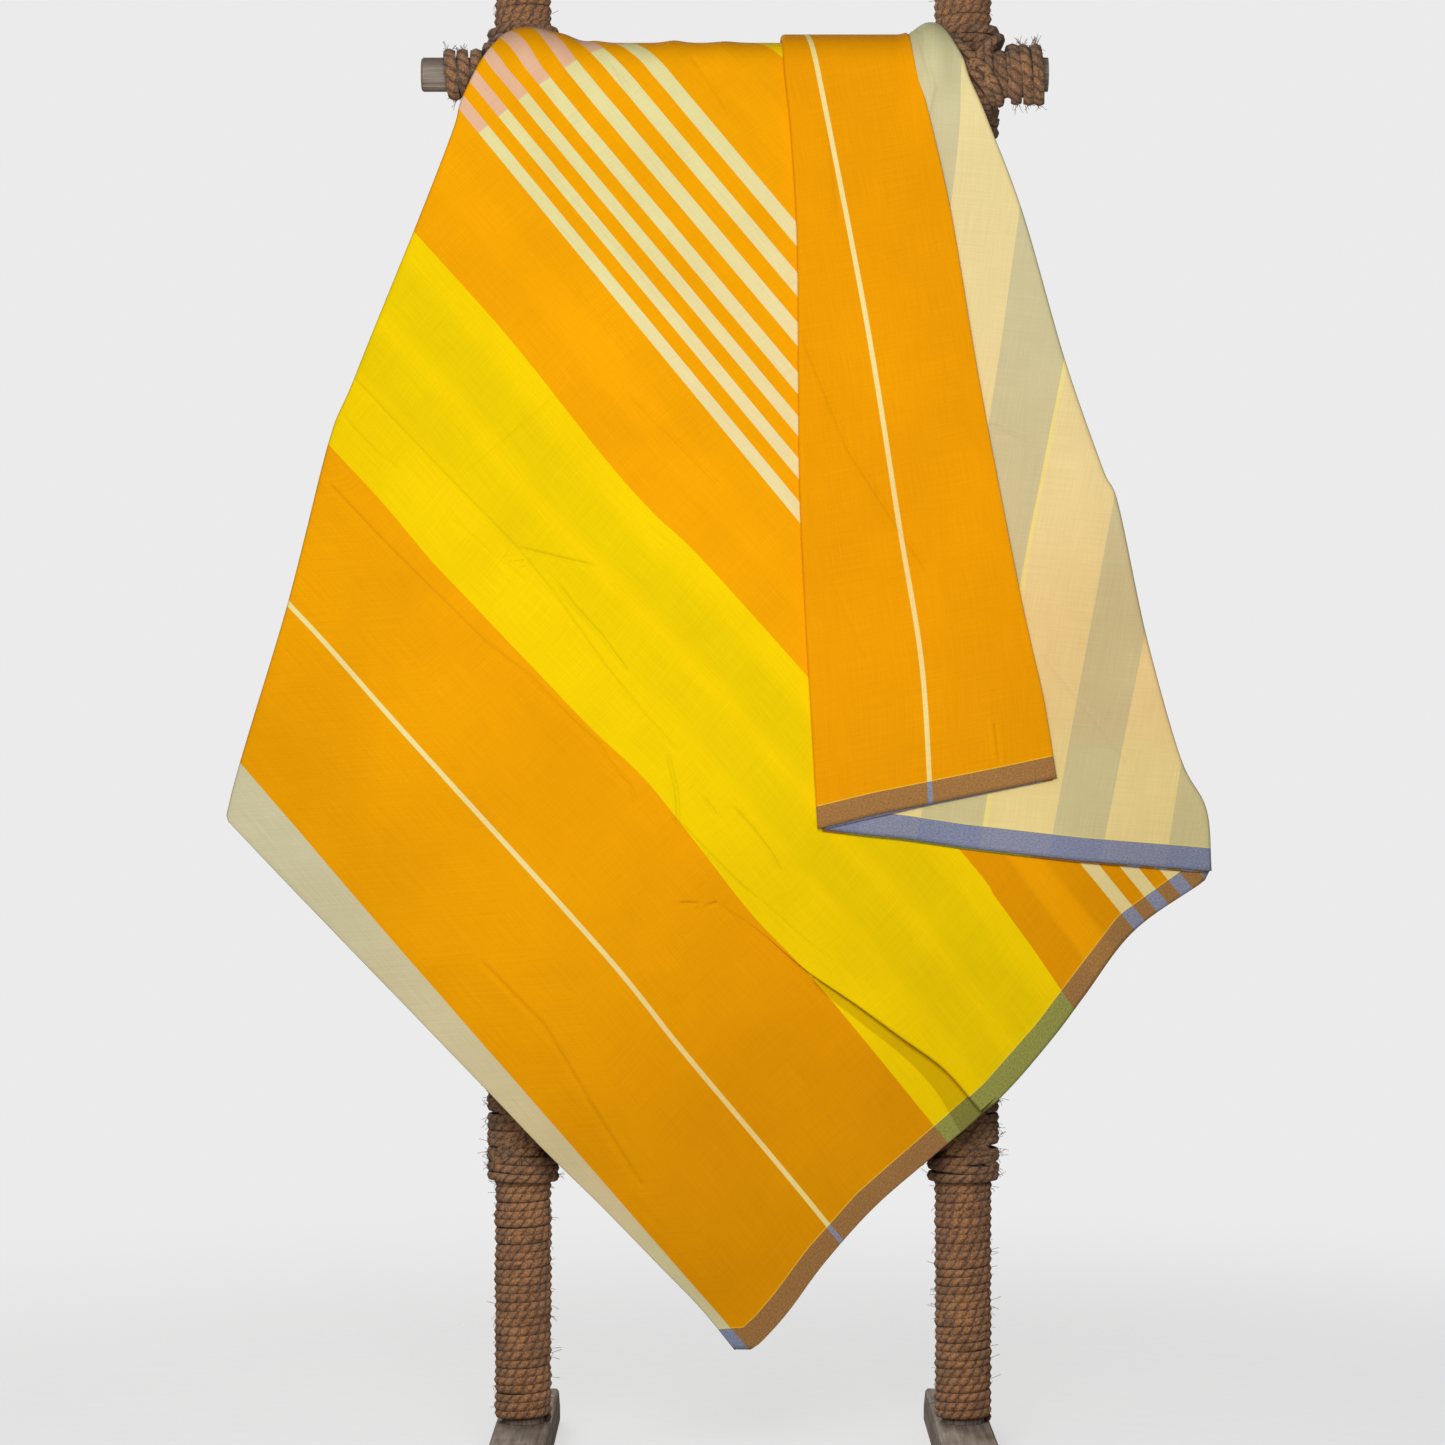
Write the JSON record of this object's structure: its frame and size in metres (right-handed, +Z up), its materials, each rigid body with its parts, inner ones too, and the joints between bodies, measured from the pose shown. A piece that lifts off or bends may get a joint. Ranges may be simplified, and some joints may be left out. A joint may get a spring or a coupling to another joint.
{
  "type": "sarong on a rope-wound display stand",
  "caption": "Striped handloom tube sarong folded flat and hung over the top rail of a rope-wound timber stand, with a doubled flap in front, a pointed hem and a tapering drop behind.",
  "frame": {"origin": "on the floor under the middle of the whole: the bottom centre of its box", "axes": "+Z up, the front of the cloth looks towards -Y, the rails run along X"},
  "size_m": [0.7748, 0.36, 1.236],
  "materials": {
    "cloth": "matt handloom cotton, striped orange, yellow, cream and greige",
    "rope": "hairy brown coir rope",
    "timber": "weathered grey-brown round timber",
    "foot_timber": "weathered grey-brown sawn timber"
  },
  "bodies": {
    "root": {"front": "cloth", "back": "cloth", "turned_back": "cloth", "turned_back_inner": "cloth", "fold_under": "cloth", "pale_panel": "cloth", "flap_under": "cloth", "flap": "cloth", "hem_pleat": "cloth", "left_fold": "cloth", "lower_left_fold": "cloth", "right_fold": "cloth", "flap_left_fold": "cloth", "flap_right_fold": "cloth", "drop_front": "cloth", "drop_back": "cloth", "drop_pale": "cloth", "drop_flap": "cloth", "left_post_winding": "rope", "right_post_winding": "rope", "top_rail_winding": "rope", "lower_rail_winding": "rope", "left_top_lashing": "rope", "right_top_lashing": "rope", "left_lower_lashing": "rope", "right_lower_lashing": "rope", "left_post": "timber", "right_post": "timber", "top_rail": "timber", "lower_rail": "timber", "left_foot": "foot_timber", "right_foot": "foot_timber"}
  },
  "joints": []
}
